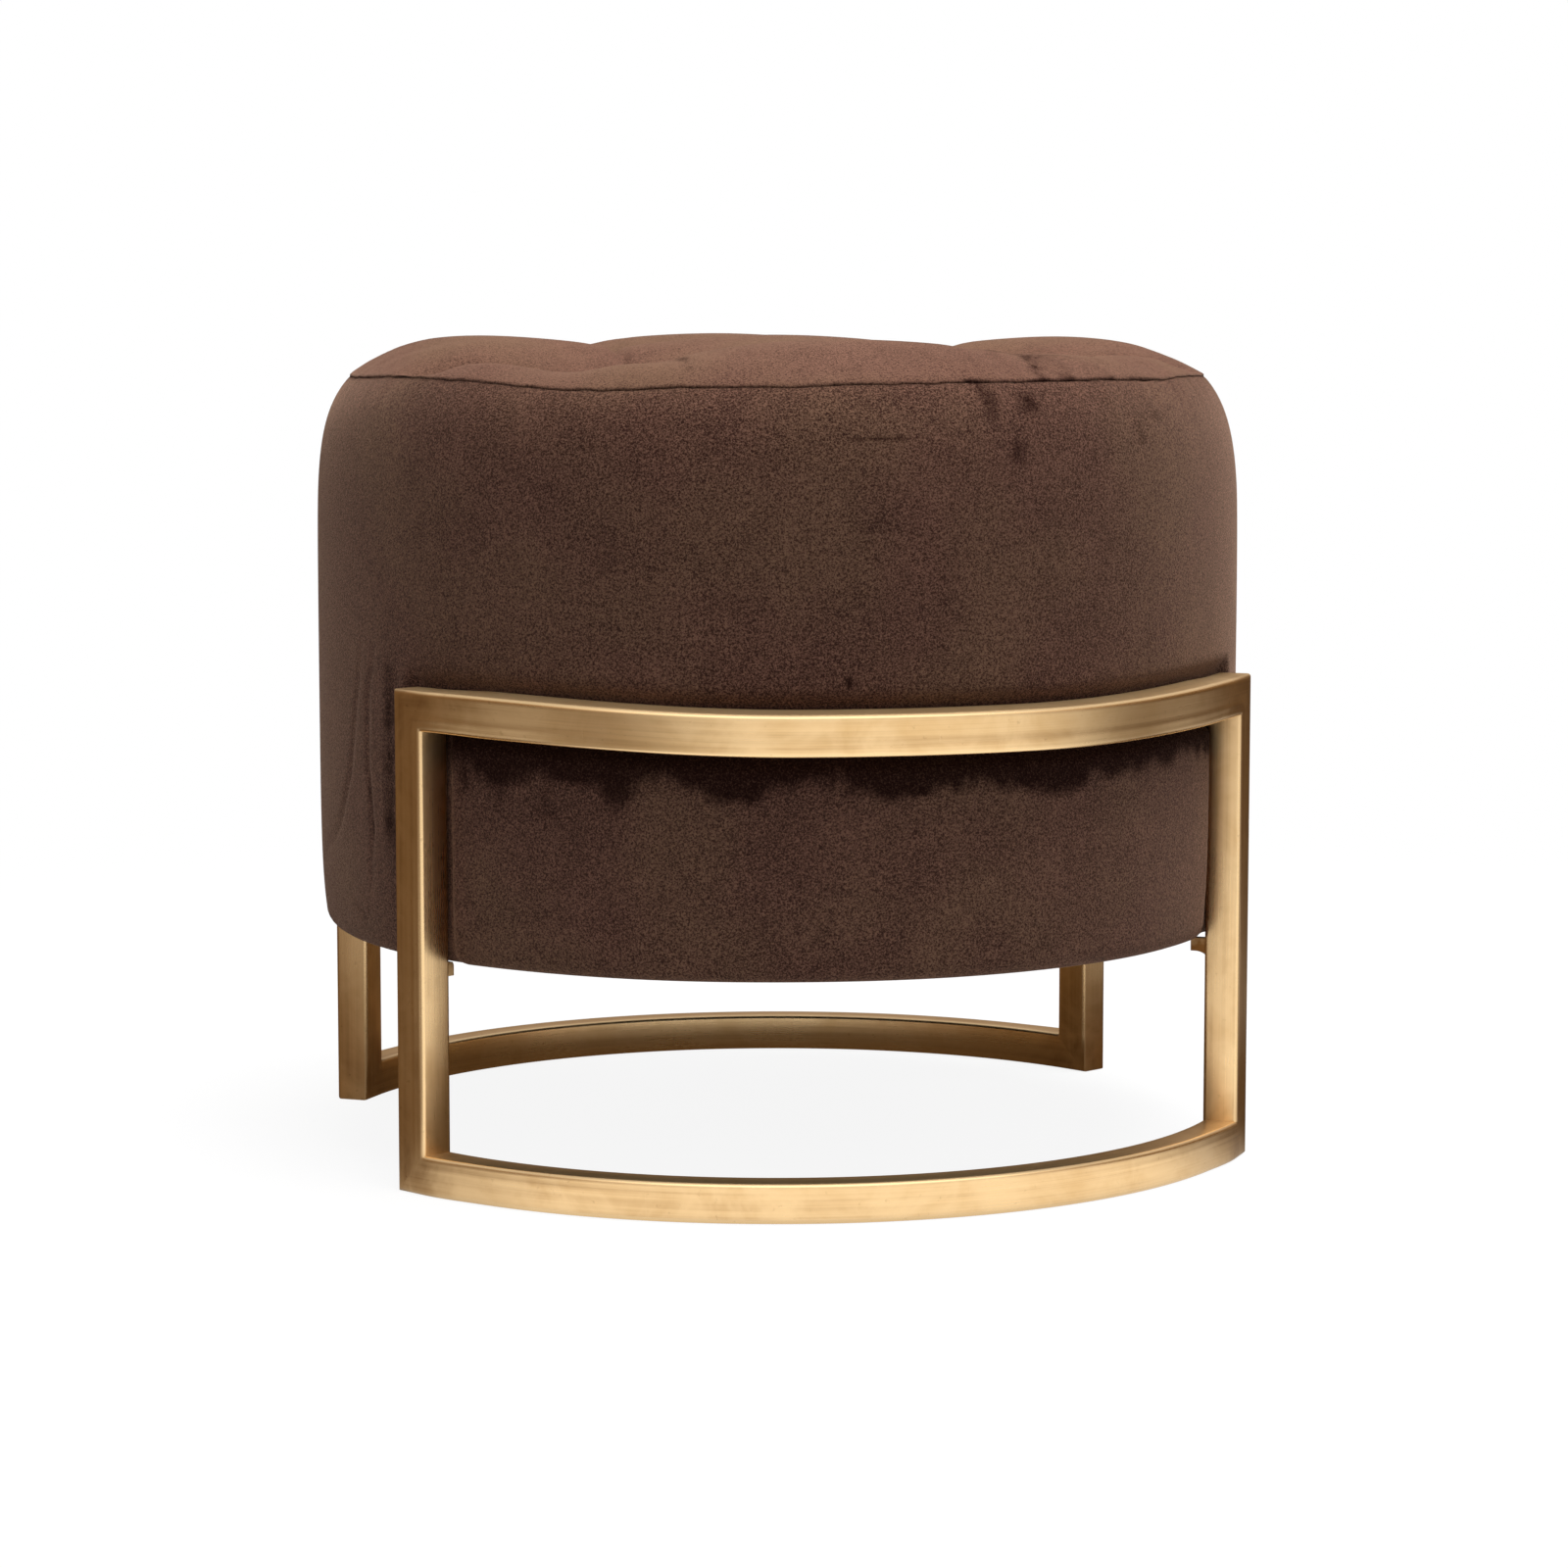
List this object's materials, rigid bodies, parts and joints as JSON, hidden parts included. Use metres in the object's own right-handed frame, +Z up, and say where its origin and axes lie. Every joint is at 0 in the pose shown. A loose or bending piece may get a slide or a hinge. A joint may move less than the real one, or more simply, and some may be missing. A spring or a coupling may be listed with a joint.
{
  "type": "round tufted stool",
  "caption": "Low round stool: a velvet drum with a tufted top, carried between two bent rectangular tube frames whose curved rails wrap its front and back.",
  "frame": {"origin": "on the floor, under the middle of the seat", "axes": "+Z up, -Y towards the front frame, +X towards the right-hand side seen from the front"},
  "size_m": [0.457, 0.482, 0.4002],
  "materials": {
    "satin_brass": "satin, brushed along the tube",
    "velvet": "dark brown cut velvet with a mottled nap",
    "foam": "open-cell upholstery foam, hidden",
    "plywood": "raw plywood, hidden",
    "softwood": "planed softwood, hidden",
    "zinc_steel": "zinc-plated steel",
    "lining": "black spunbonded dust cover",
    "twine": "waxed twine"
  },
  "bodies": {
    "root": {"front_top_rail": "satin_brass", "front_bottom_rail": "satin_brass", "rear_top_rail": "satin_brass", "rear_bottom_rail": "satin_brass", "front_left_leg": "satin_brass", "front_left_seat_lug": "satin_brass", "front_left_post": "softwood", "front_left_lower_bolt": "zinc_steel", "front_left_lower_washer": "zinc_steel", "front_left_lower_weld_nut": "zinc_steel", "front_left_upper_bolt": "zinc_steel", "front_left_upper_washer": "zinc_steel", "front_left_upper_weld_nut": "zinc_steel", "front_right_leg": "satin_brass", "front_right_seat_lug": "satin_brass", "front_right_post": "softwood", "front_right_lower_bolt": "zinc_steel", "front_right_lower_washer": "zinc_steel", "front_right_lower_weld_nut": "zinc_steel", "front_right_upper_bolt": "zinc_steel", "front_right_upper_washer": "zinc_steel", "front_right_upper_weld_nut": "zinc_steel", "rear_left_leg": "satin_brass", "rear_left_seat_lug": "satin_brass", "rear_left_post": "softwood", "rear_left_lower_bolt": "zinc_steel", "rear_left_lower_washer": "zinc_steel", "rear_left_lower_weld_nut": "zinc_steel", "rear_left_upper_bolt": "zinc_steel", "rear_left_upper_washer": "zinc_steel", "rear_left_upper_weld_nut": "zinc_steel", "rear_right_leg": "satin_brass", "rear_right_seat_lug": "satin_brass", "rear_right_post": "softwood", "rear_right_lower_bolt": "zinc_steel", "rear_right_lower_washer": "zinc_steel", "rear_right_lower_weld_nut": "zinc_steel", "rear_right_upper_bolt": "zinc_steel", "rear_right_upper_washer": "zinc_steel", "rear_right_upper_weld_nut": "zinc_steel", "base_board": "plywood", "top_board": "plywood", "drum_wall": "plywood", "side_foam": "foam", "top_foam": "foam", "velvet_band": "velvet", "velvet_top": "velvet", "dust_cover": "lining", "tuft_tie_1": "twine", "tuft_tie_2": "twine", "tuft_tie_3": "twine", "tuft_tie_4": "twine", "right_side_post": "softwood", "left_side_post": "softwood"}
  },
  "joints": []
}
